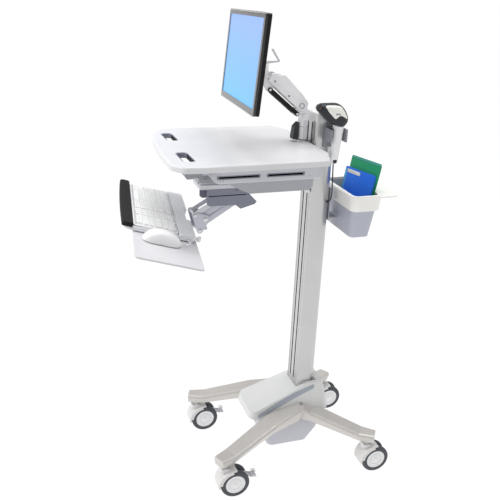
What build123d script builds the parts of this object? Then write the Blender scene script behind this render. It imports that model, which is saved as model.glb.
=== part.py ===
from build123d import *
import os
from math import cos, hypot, pi, radians, sin, tan

# Mobile point-of-care cart: castered base, fixed column, sliding head with worksurface,
# screen arm, keyboard arm with tray, rear bin and hand scanner.
# Millimetres, +Z up. The user stands at -Y, +X is the user's right, the floor is Z = 0.
# Every place below is given from the column's front centre line, (column_x, column_y).

# ---------------------------------------------------------------- driving dimensions
column_x, column_y = -73.7, 171.3      # puts the origin under the middle of the whole cart
wheel_radius, wheel_trail = 50.0, 32.0
front_swivel, rear_swivel = (191.0, -313.0), (198.0, 209.0)
leg_bottom, hub_top = 125.0, 192.0
column_width, column_depth, column_wall = 86.0, 74.0, 4.0
column_front, column_top = -8.0, 1228.0
slot_x, slot_width = 14.0, 7.0
worksurface_top, worksurface_thick = 1161.0, 18.0
worksurface_half = 240.0
post_seat = 0.6                        # depth of the seat the screen post stands in
grip_x, grip_y, grip_size = 126.0, -440.0, (110.0, 37.0)
worksurface_bottom = worksurface_top - worksurface_thick
housing_half, housing_bottom = 207.0, 1098.0
beam_bottom = 1062.0
shaft_gap = 0.05                       # radial running clearance of every pin

# keyboard arm, as (y, z) of its pivots
arm_low, arm_high = (-350.0, 934.0), (-222.0, 1008.0)
link_shift = (-34.0, 15.0)             # from each arm pivot to its link pivot
hood_swivel = (0.0, -222.0)            # x, y of the upright pin the hood turns on
tilt_pivot = (-367.5, 898.0)
tray_tilt, tray_turn = -14.0, -8.7     # degrees at rest
tray_pivot = (-429.1, 952.5)           # swivel centre on the tray's top plane
tray_pivot_local = (12.0, 58.0)
tray_half = 229.0

# screen arm, as (y, z) of its pivots
stem_y = -34.0
screen_arm_low, screen_arm_high = (-51.0, 1274.0), (-143.0, 1349.0)
screen_link_shift = (-10.0, -26.0)
pan_y = -168.0
screen_size = (434.0, 268.5)
screen_pivot = (0.0, -244.0, 1418.0)
screen_drop = 6.0                      # the screen's middle is this far below the pivot it turns on
screen_corner = 8.0
screen_pan, screen_tilt, screen_roll = -5.6, -5.5, -2.0

bin_centre_x, bin_centre_y = 18.0, 148.0


# ---------------------------------------------------------------- places
def level(z, x=0.0, y=0.0):
    """Horizontal plane at height z, centred x, y from the column line."""
    return Plane(origin=(column_x + x, column_y + y, z))


def side(x):
    """Upright plane facing +X, whose local axes are the cart's Y and Z."""
    return Plane(origin=(column_x + x, column_y, 0), x_dir=(0, 1, 0), z_dir=(1, 0, 0))


def plus(a, b):
    return (a[0] + b[0], a[1] + b[1])


def box(x, y, z, mode=Mode.ADD):
    """Block between two corners given as ranges, in the builder that is open."""
    middle = Location((column_x + sum(x) / 2, column_y + sum(y) / 2, sum(z) / 2))
    with Locations(middle):
        Box(x[1] - x[0], y[1] - y[0], z[1] - z[0], mode=mode)


def pin(x, place, radius, mode=Mode.ADD):
    """Round bar along X over a range, at a (y, z) place."""
    with BuildSketch(side(x[0])) as section:
        with Locations(place):
            Circle(radius)
    extrude(section.sketch, amount=x[1] - x[0], mode=mode)


# ---------------------------------------------------------------- casters
def make_fork(x, y, pedal):
    """Swivel fork with its hood, axle and stem."""
    axle = (y + wheel_trail, wheel_radius)
    with BuildPart() as fork:
        with BuildSketch(side(x)):
            with Locations(axle):
                Circle(14)
            with Locations((y - 2, 104)):
                Rectangle(30, 16)
            with Locations(plus(axle, (20, 22))):
                Circle(7)
            make_hull()
        extrude(amount=5, both=True)
        with BuildSketch(side(x)):
            with Locations(axle):
                Circle(58)
                Circle(52.5, mode=Mode.SUBTRACT)
            with BuildLine():
                Polyline(axle, plus(axle, (6, 90)), plus(axle, (-90, 90)), plus(axle, (-90, -14)), close=True)
            make_face(mode=Mode.INTERSECT)
        extrude(amount=27, both=True)
        for reach in (-27, 27):
            with BuildSketch(side(x + reach)):
                with Locations(axle):
                    Circle(58)
                    Circle(46, mode=Mode.SUBTRACT)
                with BuildLine():
                    Polyline(axle, plus(axle, (-14, 90)), plus(axle, (-90, 90)), plus(axle, (-90, 10)),
                             close=True)
                make_face(mode=Mode.INTERSECT)
            extrude(amount=2 if reach > 0 else -2)
        with BuildSketch(level(100, x, y)):
            RectangleRounded(36, 34, 8)
        extrude(amount=13)
        with BuildSketch(level(113, x, y)):
            Circle(14)
        extrude(amount=leg_bottom - 0.5 - 113)
        with BuildSketch(level(leg_bottom - 1, x, y)):
            Circle(5.6 - shaft_gap)
        extrude(amount=20)
        pin((x - 22, x + 22), axle, 4)
        if pedal:
            pin((x - 6, x + 6), plus(axle, (20, 22)), 2.5 + shaft_gap, Mode.SUBTRACT)
    return fork


def wheel_axis(x, y):
    return Axis((column_x + x, column_y + y + wheel_trail, wheel_radius), (1, 0, 0))


def make_wheels(x, y):
    """Twin wheels of one caster: soft tread on a moulded hub, running on the axle."""
    bore = 4 + shaft_gap
    with BuildPart() as wheels:
        with BuildSketch(level(wheel_radius, x, y + wheel_trail)):
            for s in (1, -1):
                with BuildLine():
                    Polyline((9.5 * s, bore), (22.5 * s, bore), (22.5 * s, 0), (26.4 * s, 0), (26.4 * s, 8),
                             (25.8 * s, 9), (25.8 * s, 30), (26.6 * s, 31.5), (26.6 * s, 38), (27 * s, 39),
                             (27 * s, 44.5), (23.5 * s, 49.2), (18.2 * s, 50), (13 * s, 49.2),
                             (9.5 * s, 44.5), close=True)
                make_face()
        revolve(axis=wheel_axis(x, y))
    return wheels


def make_pedal(x, y):
    """Foot tab that locks a front wheel."""
    axle = (y + wheel_trail, wheel_radius)
    pivot = plus(axle, (20, 22))
    with BuildPart() as pedal:
        for start in (5.4, -8.4):
            with BuildSketch(side(x + start)):
                with Locations(pivot):
                    Circle(6)
                with Locations(plus(axle, (60, 12))):
                    Rectangle(8, 6)
                make_hull()
            extrude(amount=3)
        pin((x - 8.4, x + 8.4), pivot, 2.5)
        with BuildSketch(side(x)):
            with BuildLine():
                Polyline(plus(axle, (57, 9)), plus(axle, (60, 15)), plus(axle, (76, 13)),
                         plus(axle, (79, 9)), plus(axle, (76, 7)), close=True)
            make_face()
        extrude(amount=12, both=True)
    return pedal


swivels = {
    "front_right": front_swivel,
    "front_left": (-front_swivel[0], front_swivel[1]),
    "rear_right": rear_swivel,
    "rear_left": (-rear_swivel[0], rear_swivel[1]),
}
pieces = {}
for corner, (x, y) in swivels.items():
    braked = corner.startswith("front")
    pieces[corner + "_fork"] = make_fork(x, y, braked)
    pieces[corner + "_wheels"] = make_wheels(x, y)
    if braked:
        pieces[corner + "_brake_pedal"] = make_pedal(x, y)


# ---------------------------------------------------------------- base
def make_leg(tip, root):
    """One tapering cast leg with a keel, rising from its squared tip over the caster to its root."""
    reach = hypot(root[0] - tip[0], root[1] - tip[1])
    inward = Vector((root[0] - tip[0]) / reach, (root[1] - tip[1]) / reach, 0)
    stations = ((-27, 156, 126, 24, 18), (25, 158, 125, 30, 18), (200, 211, 165, 35, 16),
                (reach, 232, 170, 36, 20))
    with BuildPart() as leg:
        for distance, top, bottom, top_half, keel_half in stations:
            centre = Vector(column_x + tip[0], column_y + tip[1], 0) + inward * distance
            with BuildSketch(Plane(origin=centre, x_dir=(inward.Y, -inward.X, 0), z_dir=-inward)):
                with BuildLine():
                    Polyline((-keel_half, bottom), (-top_half, top - 9), (-top_half + 3, top - 2),
                             (-top_half + 9, top), (top_half - 9, top), (top_half - 3, top - 2),
                             (top_half, top - 9), (keel_half, bottom), close=True)
                make_face()
        loft(ruled=True)
        with BuildSketch(level(leg_bottom, *tip)):
            Circle(15)
        extrude(amount=6)
        with BuildSketch(level(leg_bottom, *tip)):
            Circle(5.6)
        extrude(amount=22, mode=Mode.SUBTRACT)
    return leg


with BuildPart() as base_frame:
    for corner, place in swivels.items():
        root_x, root_y = (72, -10) if corner.startswith("front") else (68, 14)
        add(make_leg(place, (root_x if corner.endswith("right") else -root_x, root_y)).part)
    with BuildSketch(level(leg_bottom, 0, -33)):
        RectangleRounded(150, 204, 22)
    extrude(amount=hub_top - leg_bottom)
    box((-44, 44), (column_front - 0.8, column_front + column_depth + 0.8), (hub_top, 260), Mode.SUBTRACT)
pieces["base_frame"] = base_frame


def cover_block(grow):
    """Outer form of the base cover, grown or shrunk evenly."""
    with BuildPart() as block:
        with BuildSketch(level(194, 0, -38)):
            RectangleRounded(162 + 2 * grow, 302 + 2 * grow, 30 + grow)
        extrude(amount=125, taper=12)
        with BuildSketch(side(0)):
            with BuildLine():
                Polyline((-200, 180), (-200, 216), (-172, 221), (-60, 263), (30, 298), (94, 298), (140, 280),
                         (140, 180), close=True)
            make_face()
            offset(amount=grow, kind=Kind.INTERSECTION)
        extrude(amount=120, both=True, mode=Mode.INTERSECT)
    return block


cover_outer, cover_inner = cover_block(0), cover_block(-3.5)
with BuildPart() as base_cover:
    add(cover_outer.part)
    add(cover_inner.part, mode=Mode.SUBTRACT)
    box((-90, 90), (-200, 130), (170, 194), Mode.SUBTRACT)
    box((-43.6, 43.6), (column_front - 0.6, column_front + column_depth + 0.6), (190, 310), Mode.SUBTRACT)
    add(base_frame.part, mode=Mode.SUBTRACT)
pieces["base_cover"] = base_cover

with BuildPart() as ballast_box:
    with BuildSketch(level(leg_bottom, 0, -34)):
        RectangleRounded(172, 214, 26)
    with BuildSketch(level(68, 0, -38)):
        RectangleRounded(150, 150, 20)
    loft()
    fillet(ballast_box.faces().sort_by(Axis.Z)[0].edges(), 5)
    with BuildSketch(level(leg_bottom, 0, -34)):
        RectangleRounded(172, 214, 26)
    extrude(amount=188 - leg_bottom)
    add(base_frame.part, mode=Mode.SUBTRACT)
pieces["ballast_box"] = ballast_box


# ---------------------------------------------------------------- column and lift
column_mid_y = column_front + column_depth / 2


def column_outline(inset):
    """D-shaped section: small radii in front, large ones behind."""
    x, near, far = column_width / 2 - inset, column_front + inset, column_front + column_depth - inset
    with BuildLine() as outline:
        FilletPolyline((-x, far - 30), (-x, near), (x, near), (x, far - 30), radius=max(6 - inset, 1.5))
        ThreePointArc((x, far - 30), (x - 10, far - 8), (x - 26, far))
        Line((x - 26, far), (26 - x, far))
        ThreePointArc((26 - x, far), (10 - x, far - 8), (-x, far - 30))
    return outline.line


def column_hollow(gap):
    """Inside of the column, its rear corners cut off straight, shrunk by a gap."""
    x = column_width / 2 - column_wall - gap
    near, far = column_front + column_wall + gap, column_front + column_depth - column_wall - gap
    with BuildLine() as outline:
        Polyline((-x, near), (x, near), (x, far - 27), (x - 24, far), (24 - x, far), (-x, far - 27), close=True)
    return outline.line


with BuildPart() as column:
    with BuildSketch(level(hub_top)):
        add(column_outline(0))
        make_face()
        with BuildSketch(level(hub_top), mode=Mode.PRIVATE) as hollow:
            add(column_hollow(0))
            make_face()
        add(hollow.sketch_local, mode=Mode.SUBTRACT)
    extrude(amount=column_top - hub_top)
    for x in (-slot_x, slot_x):
        box((x - slot_width / 2, x + slot_width / 2), (column_front - 1, column_front + 5), (302, 1222),
            Mode.SUBTRACT)
    for x in (-30, 30):
        box((x - 1, x + 1), (column_front - 1, column_front + 1), (hub_top, column_top), Mode.SUBTRACT)
pieces["column"] = column

with BuildPart() as column_cap:
    with BuildSketch(level(column_top)):
        add(column_outline(-0.8))
        make_face()
    extrude(amount=27)
    fillet(column_cap.faces().sort_by(Axis.Z)[-1].edges(), 5)
    with BuildSketch(level(column_top - 14)):
        add(column_hollow(0.2))
        make_face()
    extrude(amount=14)
pieces["column_cap"] = column_cap

with BuildPart() as lift_cylinder:
    with BuildSketch(level(hub_top, 0, column_mid_y)):
        Circle(9.5)
    extrude(amount=508)
    with BuildSketch(level(hub_top + 6, 0, column_mid_y)):
        Circle(6)
    extrude(amount=494, mode=Mode.SUBTRACT)
    with BuildSketch(level(hub_top + 490, 0, column_mid_y)):
        Circle(4 + shaft_gap)
    extrude(amount=30, mode=Mode.SUBTRACT)
pieces["lift_cylinder"] = lift_cylinder

with BuildPart() as lift_rod:
    with BuildSketch(level(593, 0, column_mid_y)):
        Circle(6 - shaft_gap)
    extrude(amount=12)
    with BuildSketch(level(600, 0, column_mid_y)):
        Circle(4)
    extrude(amount=522)
pieces["lift_rod"] = lift_rod

with BuildPart() as carriage:
    box((-35, 35), (2, 32), (1052, 1126))
    box((-22, 22), (32, 50), (1052, 1126))
    with BuildSketch(level(1052, 0, column_mid_y)):
        Circle(11)
    extrude(amount=70, mode=Mode.SUBTRACT)
    for x in (-slot_x, slot_x):
        box((x - 2.6, x + 2.6), (-16, 3), (1056, 1124))
    box((-40, 40), (-20, -12), (1002, worksurface_bottom))
    for x in (-70, 70):
        box((x - 9, x + 9), (-340, -20), (1130, worksurface_bottom))
    box((-79, 79), (-34, -20), (1130, worksurface_bottom))
    for x in (-30, 24):
        with BuildSketch(side(x)):
            with BuildLine():
                Polyline((-20, 1010), (-20, 1060), (-40, 1130), (-47, 1130), (-47, 1120), (-28, 1010),
                         close=True)
            make_face()
        extrude(amount=6)
pieces["carriage"] = carriage

with BuildPart() as glide_pads:
    for x in ((35, 38.7), (-38.7, -35)):
        for z in (1058, 1112):
            box(x, (8, 30), (z, z + 16))
pieces["glide_pads"] = glide_pads


# ---------------------------------------------------------------- worksurface and housing
def worksurface_outline():
    """Plan of the worksurface: bowed front, rounded front corners, rear corners cut back."""
    half = worksurface_half
    with BuildSketch(level(0)) as outline:
        with BuildLine():
            Polyline((200, -499), (half, -470), (half + 5, -415), (half, -45), (150, -12), (-150, -12),
                     (-half, -45), (-half - 5, -385), (6 - half, -440), (-180, -474))
            ThreePointArc((-180, -474), (20, -497), (200, -499))
        make_face()
        fillet(outline.vertices().filter_by(lambda v: v.Y < -300), 36)
        fillet(outline.vertices().filter_by(lambda v: v.Y > -60), 14)
    return outline.sketch_local


with BuildPart() as worksurface:
    with BuildSketch(level(worksurface_bottom)):
        add(worksurface_outline())
    extrude(amount=worksurface_thick)
    fillet(worksurface.faces().sort_by(Axis.Z)[-1].edges(), 7)
    with BuildSketch(level(worksurface_bottom)):
        with Locations((grip_x, grip_y), (-grip_x, grip_y + 12)):
            RectangleRounded(*grip_size, 14)
    extrude(amount=worksurface_thick, mode=Mode.SUBTRACT)
    rims = worksurface.edges().filter_by(lambda e: e.center().Z > worksurface_top - 0.01)
    grip_rims = rims.filter_by(lambda e: -470 < e.center().Y - column_y < -395)
    fillet(grip_rims.filter_by(lambda e: abs(e.center().X - column_x) < 190), 3)
    with BuildSketch(level(worksurface_top, 0, stem_y)):
        Circle(19.2)
    extrude(amount=-post_seat, mode=Mode.SUBTRACT)
pieces["worksurface"] = worksurface

slot_spans = ((-365, -247), (-220, -112))
lever_hinge = (-384.0, 1122.0)
with BuildPart() as head_housing:
    with BuildSketch(level(housing_bottom, 0, -211)):
        RectangleRounded(2 * housing_half, 322, 14)
    extrude(amount=worksurface_bottom - housing_bottom)
    fillet(head_housing.faces().sort_by(Axis.Z)[0].edges(), 5)
    with BuildSketch(level(housing_bottom + 3, 0, -211)):
        RectangleRounded(2 * housing_half - 6, 316, 11)
    extrude(amount=worksurface_bottom - housing_bottom, mode=Mode.SUBTRACT)
    for near, far in slot_spans:
        box((-250, 250), (near, far), (1114, 1120), Mode.SUBTRACT)
    for x in (-70, 70):
        box((x - 11, x + 11), (-60, -40), (1128, worksurface_bottom), Mode.SUBTRACT)
    for x in ((84, 89), (151, 156)):
        box(x, (-396, -370), (1112, worksurface_bottom))
    pin((84, 156), lever_hinge, 3)
pieces["head_housing"] = head_housing

with BuildPart() as housing_beam:
    with BuildSketch(side(-196)):
        with BuildLine():
            Polyline((-330, housing_bottom), (-326, 1090), (-268, beam_bottom), (-86, beam_bottom),
                     (-74, 1074), (-74, housing_bottom), close=True)
        make_face()
    extrude(amount=392)
    with BuildSketch(side(-192)):
        with BuildLine():
            Polyline((-320, housing_bottom), (-264, beam_bottom + 4), (-90, beam_bottom + 4),
                     (-78, 1076), (-78, housing_bottom), close=True)
        make_face()
    extrude(amount=384, mode=Mode.SUBTRACT)
    box((-34, 34), (-374, -86), (1054, beam_bottom + 1))
    box((-22, 22), (-374, -86), (1047, 1055))
pieces["housing_beam"] = housing_beam

with BuildPart() as lift_lever:
    with BuildSketch(side(89.5)):
        with BuildLine():
            Polyline((-378, 1112), (-378, 1128), (-392, 1132), (-430, 1130), (-444, 1122), (-448, 1110),
                     (-440, 1100), (-424, 1101), (-396, 1109), close=True)
        make_face()
    extrude(amount=61)
    pin((89, 151), lever_hinge, 3 + shaft_gap, Mode.SUBTRACT)
pieces["lift_lever"] = lift_lever

# ---------------------------------------------------------------- keyboard arm
with BuildPart() as glide_block:
    box((-45, 45), (-374, -205), (1034.3, 1046.5))
    for x in ((22.5, 34), (-34, -22.5)):
        box(x, (-370, -209), (1046.5, 1053.7))
    with BuildSketch(level(1034.3, *hood_swivel)):
        Circle(6)
    extrude(amount=9, mode=Mode.SUBTRACT)
    fillet(glide_block.edges().filter_by(Axis.Z).group_by(Axis.Y)[0], 8)
pieces["glide_block"] = glide_block

with BuildPart() as keyboard_hood:
    with BuildSketch(side(-45)):
        with BuildLine():
            Polyline((-351, 1034), (-205, 1034), (-214, 1011), (-191, 987), (-196, 979), (-243, 966),
                     (-259, 979), (-344, 981), (-351, 988), close=True)
        make_face()
    extrude(amount=90)
    box((-41, 41), (-360, -180), (960, 1031), Mode.SUBTRACT)
    with BuildSketch(level(1033, *hood_swivel)):
        Circle(6 - shaft_gap)
    extrude(amount=8)
    pin((-44.5, 44.5), arm_high, 4)
    for x in ((-44.5, -20.4), (20.4, 44.5)):
        pin(x, plus(arm_high, link_shift), 4)
pieces["keyboard_hood"] = keyboard_hood

with BuildPart() as keyboard_arm:
    with BuildSketch(side(-20)):
        with Locations(arm_low):
            Circle(22)
        with Locations(arm_high):
            Circle(17)
        make_hull()
    extrude(amount=40)
    fillet(keyboard_arm.edges().filter_by(lambda e: e.length > 40), 5)
    for place in (arm_low, arm_high):
        pin((-21, 21), place, 4 + shaft_gap, Mode.SUBTRACT)
pieces["keyboard_arm"] = keyboard_arm

with BuildPart() as keyboard_link:
    for x in (20.6, -24.6):
        with BuildSketch(side(x)):
            with Locations(plus(arm_low, link_shift), plus(arm_high, link_shift)):
                Circle(6.2)
            make_hull()
            with Locations(plus(arm_low, link_shift), plus(arm_high, link_shift)):
                Circle(4 + shaft_gap, mode=Mode.SUBTRACT)
        extrude(amount=4)
pieces["keyboard_link"] = keyboard_link

with BuildPart() as tray_knuckle:
    for x in (25.2, -29.2):
        with BuildSketch(side(x)):
            with Locations(plus(arm_low, link_shift)):
                Circle(8.5)
            with Locations(arm_low):
                Circle(13)
            with Locations(tilt_pivot):
                Circle(10)
            make_hull()
        extrude(amount=4)
    box((-25.3, 25.3), (-352, -343), (898, 905))
    for place in (arm_low, plus(arm_low, link_shift), tilt_pivot):
        pin((-30, 30), place, 4)
pieces["tray_knuckle"] = tray_knuckle


# ---------------------------------------------------------------- keyboard tray
turn, lean = radians(tray_turn), radians(tray_tilt)
tray_x = Vector(cos(turn), sin(turn) * cos(lean), sin(turn) * sin(lean))
tray_y = Vector(-sin(turn), cos(turn) * cos(lean), cos(turn) * sin(lean))
tray_normal = Vector(0, -sin(lean), cos(lean))
tray_pivot_point = Vector(column_x, column_y + tray_pivot[0], tray_pivot[1])
tray_centre = tray_pivot_point - tray_x * tray_pivot_local[0] - tray_y * tray_pivot_local[1]


def tray_level(height):
    """Plane parallel to the tray, at a height over the tops of the keys."""
    return Plane(origin=tray_centre + tray_normal * height, x_dir=tray_x, z_dir=tray_normal)


def slab(x, y, heights, radius, mode=Mode.ADD):
    """Rounded slab on the tray, between two heights."""
    with BuildSketch(tray_level(heights[0])) as outline:
        with Locations((sum(x) / 2, sum(y) / 2)):
            RectangleRounded(x[1] - x[0], y[1] - y[0], radius)
    extrude(outline.sketch, amount=heights[1] - heights[0], mode=mode)


with BuildPart() as tilt_bracket:
    with BuildSketch(side(-24)):
        with Locations(tilt_pivot):
            Circle(8.5)
        ends = []
        for reach, height in ((-34, -27.5), (-34, -33), (66, -27.5), (66, -33)):
            ends.append((tray_pivot[0] + reach * cos(lean) - height * sin(lean),
                         tray_pivot[1] + reach * sin(lean) + height * cos(lean)))
        with BuildLine():
            Polyline(ends[0], ends[1], ends[3], ends[2], close=True)
        make_face()
        with BuildLine():
            Polyline(ends[3], ends[2], plus(tilt_pivot, (8, 3)), plus(tilt_pivot, (-8, -3)), close=True)
        make_face()
    extrude(amount=48)
    pin((-25, 25), tilt_pivot, 4 + shaft_gap, Mode.SUBTRACT)
    with BuildSketch(tray_level(-26)):
        with Locations(tray_pivot_local):
            Circle(7)
    extrude(amount=-10, mode=Mode.SUBTRACT)
pieces["tilt_bracket"] = tilt_bracket

with BuildPart() as keyboard_tray:
    slab((-tray_half, tray_half), (-112, 90), (-17, -13), 16)
    slab((-tray_half, tray_half), (42, 90), (-13, -1), 8)
    slab((-tray_half, tray_half), (-114, -89.5), (-14, -8), 10)
    for x in ((-229, -224), (224, 229)):
        slab(x, (-89, 44), (-13, -6), 2)
    slab((tray_pivot_local[0] - 56, tray_pivot_local[0] + 56), (78.5, 110), (-18, 0), 3, Mode.SUBTRACT)
    with BuildSketch(tray_level(-17)):
        with Locations(tray_pivot_local):
            Circle(26)
    extrude(amount=-10)
    with BuildSketch(tray_level(-27)):
        with Locations(tray_pivot_local):
            Circle(7 - shaft_gap)
    extrude(amount=-8)
    slab((-206, 206), (-12, 12), (-19.2, -17), 3)
    for reach, radius, long in ((89, 5, 9), (97, 8, 9)):
        knob_centre = tray_centre + tray_x * 214 + tray_y * reach - tray_normal * 9
        with BuildSketch(Plane(origin=knob_centre, x_dir=tray_x, z_dir=tray_y)):
            Circle(radius)
        extrude(amount=long)
pieces["keyboard_tray"] = keyboard_tray

with BuildPart() as palm_rest:
    with BuildSketch(tray_level(-8)):
        with BuildLine():
            Line((230, -89.6), (-230, -89.6))
            ThreePointArc((-230, -89.6), (-236, -104), (-224, -117))
            ThreePointArc((-224, -117), (0, -123), (224, -117))
            ThreePointArc((224, -117), (236, -104), (230, -89.6))
        make_face()
    extrude(amount=14, taper=14)
pieces["palm_rest"] = palm_rest

with BuildPart() as keyboard_case:
    slab((-221, 221), (-88, 40), (-13, -2), 6)
    slab((-216, 216), (-83, 35), (-8, 0), 3, Mode.SUBTRACT)
pieces["keyboard_case"] = keyboard_case

key_pitch = 19.0
key_rows = (
    (-72.5, (1.4, 1.2, 1.2, 6.4, 1.2, 1.2, 1.4)),
    (-53.5, (2.3,) + (1,) * 10 + (1.7,)),
    (-34.5, (1.8,) + (1,) * 11 + (1.2,)),
    (-15.5, (1.5,) + (1,) * 11 + (1.5,)),
    (3.5, (1,) * 12 + (2,)),
    (24.5, (1,) * 14),
)
with BuildPart() as keyboard_keys:
    slab((-214, 214), (-81, 33), (-5.4, -4.4), 2)
    for row_y, widths in key_rows:
        with BuildSketch(tray_level(-4.4)):
            start = -211.0
            for width in widths:
                with Locations((start + width * key_pitch / 2, row_y)):
                    RectangleRounded(width * key_pitch - 2.6, key_pitch - 2.8, 2)
                start += width * key_pitch
            for column_start, count in ((64, 3), (131, 4)):
                with Locations(*[(column_start + key_pitch * (i + 0.5), row_y) for i in range(count)]):
                    RectangleRounded(key_pitch - 2.6, key_pitch - 2.8, 2)
        extrude(amount=6.4, taper=7)
pieces["keyboard_keys"] = keyboard_keys

with BuildPart() as mouse_tray:
    slab((176, 430), (-87, 96), (-24.5, -19.6), 14)
    slab((170, 215), (-30, 30), (-24.5, -21.5), 6)
    slab((232, 241), (69, 81), (-19.7, -11), 2)
pieces["mouse_tray"] = mouse_tray

mouse_x, mouse_y = 278.0, -9.0
with BuildPart() as mouse:
    for height, wide, long, radius, shift in ((-19.3, 58, 104, 26, 0), (-10, 62, 108, 28, 0),
                                              (4, 56, 98, 26, -2), (14, 34, 62, 16, -6)):
        with BuildSketch(tray_level(height)):
            with Locations((mouse_x, mouse_y + shift)):
                RectangleRounded(wide, long, radius)
    loft(ruled=True)
    fillet(mouse.faces().filter_by(lambda f: f.normal_at().Z > 0.95).sort_by(Axis.Z)[-1].edges(), 4)
pieces["mouse"] = mouse

# ---------------------------------------------------------------- screen arm
with BuildPart() as post_foot:
    with BuildSketch(level(worksurface_top - post_seat, 0, stem_y)):
        Circle(19)
    extrude(amount=5 + post_seat)
    with BuildSketch(level(worksurface_top + 5, 0, stem_y)):
        Circle(9)
    extrude(amount=40)
pieces["post_foot"] = post_foot

with BuildPart() as screen_stem:
    with BuildSketch(level(worksurface_top + 5.3, 0, stem_y)):
        Circle(16.5)
        Circle(9 + shaft_gap, mode=Mode.SUBTRACT)
    extrude(amount=42)
    with BuildSketch(level(worksurface_top + 47.3, 0, stem_y)):
        Circle(16.5)
    extrude(amount=38)
    with BuildSketch(side(-10)):
        with Locations((stem_y, 1244)):
            Rectangle(33, 10)
        with Locations(screen_arm_low):
            Circle(13)
        with Locations(plus(screen_arm_low, screen_link_shift)):
            Circle(8)
        make_hull()
    extrude(amount=20)
    pin((-16.5, 16.5), screen_arm_low, 5)
    pin((-16.5, 16.5), plus(screen_arm_low, screen_link_shift), 3.5)
pieces["screen_stem"] = screen_stem

with BuildPart() as cable_guide:
    with BuildSketch(side(-13)):
        with BuildLine():
            Polyline((stem_y - 18, 1169), (stem_y - 34, 1169), (stem_y - 36, 1174), (stem_y - 32, 1208),
                     (stem_y - 18, 1222), close=True)
        make_face()
    extrude(amount=26)
    box((-7, 7), (stem_y - 19, stem_y - 14), (1176, 1196))
    with BuildSketch(level(1160, 0, stem_y)):
        Circle(16.5)
    extrude(amount=70, mode=Mode.SUBTRACT)
pieces["cable_guide"] = cable_guide

along_arm = Vector(0, screen_arm_high[0] - screen_arm_low[0],
                   screen_arm_high[1] - screen_arm_low[1]).normalized()


def on_arm(start, reach, rise):
    """Place along the screen arm from a pivot, in the side plane."""
    return (start[0] + along_arm.Y * reach + along_arm.Z * rise,
            start[1] + along_arm.Z * reach - along_arm.Y * rise)


with BuildPart() as screen_arm:
    with BuildSketch(side(-22)):
        with BuildLine():
            Polyline(on_arm(screen_arm_low, -16, -6), on_arm(screen_arm_low, -21, 6),
                     on_arm(screen_arm_low, -12, 20), on_arm(screen_arm_low, 0, 24),
                     on_arm(screen_arm_high, 8, 24), on_arm(screen_arm_high, 22, 12),
                     on_arm(screen_arm_high, 18, -12), on_arm(screen_arm_low, 6, -14), close=True)
        make_face()
    extrude(amount=44)
    fillet(screen_arm.faces().filter_by(lambda f: abs(f.normal_at().X) > 0.9).edges(), 3)
    with BuildSketch(side(-17.2)):
        with BuildLine():
            Polyline(on_arm(screen_arm_low, -40, -30), on_arm(screen_arm_low, -40, 14),
                     on_arm(screen_arm_low, -9, 17), on_arm(screen_arm_low, 0, 20),
                     on_arm(screen_arm_high, 12, 20), on_arm(screen_arm_high, 40, 16),
                     on_arm(screen_arm_high, 40, -30), close=True)
        make_face()
    extrude(amount=34.4, mode=Mode.SUBTRACT)
    for x in ((-22, -17.2), (17.2, 22)):
        for place in (screen_arm_low, screen_arm_high):
            pin(x, place, 5)
    for place in (screen_arm_low, screen_arm_high):
        pin((-18, 18), place, 5 + shaft_gap, Mode.SUBTRACT)
pieces["screen_arm"] = screen_arm

with BuildPart() as screen_link:
    low, high = plus(screen_arm_low, screen_link_shift), plus(screen_arm_high, screen_link_shift)
    for x in (10.4, -14.4):
        with BuildSketch(side(x)):
            with Locations(low, high):
                Circle(6.5)
            make_hull()
            with Locations(low, high):
                Circle(3.5 + shaft_gap, mode=Mode.SUBTRACT)
        extrude(amount=4)
    middle = on_arm(low, 60, -4)
    with BuildSketch(side(-14.4)):
        with Locations(middle):
            Circle(2.4)
    extrude(amount=28.8)
pieces["screen_link"] = screen_link

pan_bottom, pan_top = 1362.0, 1390.0
with BuildPart() as arm_knuckle:
    with BuildSketch(side(-10)):
        with Locations(screen_arm_high):
            Circle(10)
        with Locations(plus(screen_arm_high, screen_link_shift)):
            Circle(8)
        with Locations((pan_y, pan_bottom - 8)):
            Rectangle(14, 14)
        make_hull()
    extrude(amount=20)
    with BuildSketch(level(pan_bottom - 16, 0, pan_y)):
        Circle(11)
    extrude(amount=16)
    with BuildSketch(level(pan_bottom, 0, pan_y)):
        Circle(6)
    extrude(amount=pan_top - pan_bottom)
    pin((-17.2, 17.2), screen_arm_high, 5)
    pin((-16.5, 16.5), plus(screen_arm_high, screen_link_shift), 3.5)
pieces["arm_knuckle"] = arm_knuckle

tilt_y, tilt_z = -181.0, 1404.0
with BuildPart() as pan_head:
    with BuildSketch(level(pan_bottom + 0.4, 0, pan_y)):
        Circle(11)
        Circle(6 + shaft_gap, mode=Mode.SUBTRACT)
    extrude(amount=pan_top - pan_bottom + 4)
    with BuildSketch(level(pan_top + 4.4, 0, pan_y)):
        Circle(11)
    extrude(amount=12)
    with BuildSketch(side(-8)):
        with Locations((tilt_y, tilt_z)):
            Circle(8)
        with Locations((-172, tilt_z)):
            Rectangle(6, 22)
        make_hull()
    extrude(amount=16)
    pin((-20, 20), (tilt_y, tilt_z), 3.5)
pieces["pan_head"] = pan_head

# screen, placed by its own plane: local x to the user's right, local y up, normal to the user
pan, tip, roll = radians(screen_pan), radians(screen_tilt), radians(screen_roll)


def screen_direction(x, y, z):
    """Turn a direction by the screen's rest roll, tilt and pan."""
    x, z = x * cos(roll) + z * sin(roll), -x * sin(roll) + z * cos(roll)
    y, z = y * cos(tip) - z * sin(tip), y * sin(tip) + z * cos(tip)
    return Vector(x * cos(pan) - y * sin(pan), x * sin(pan) + y * cos(pan), z)


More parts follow.
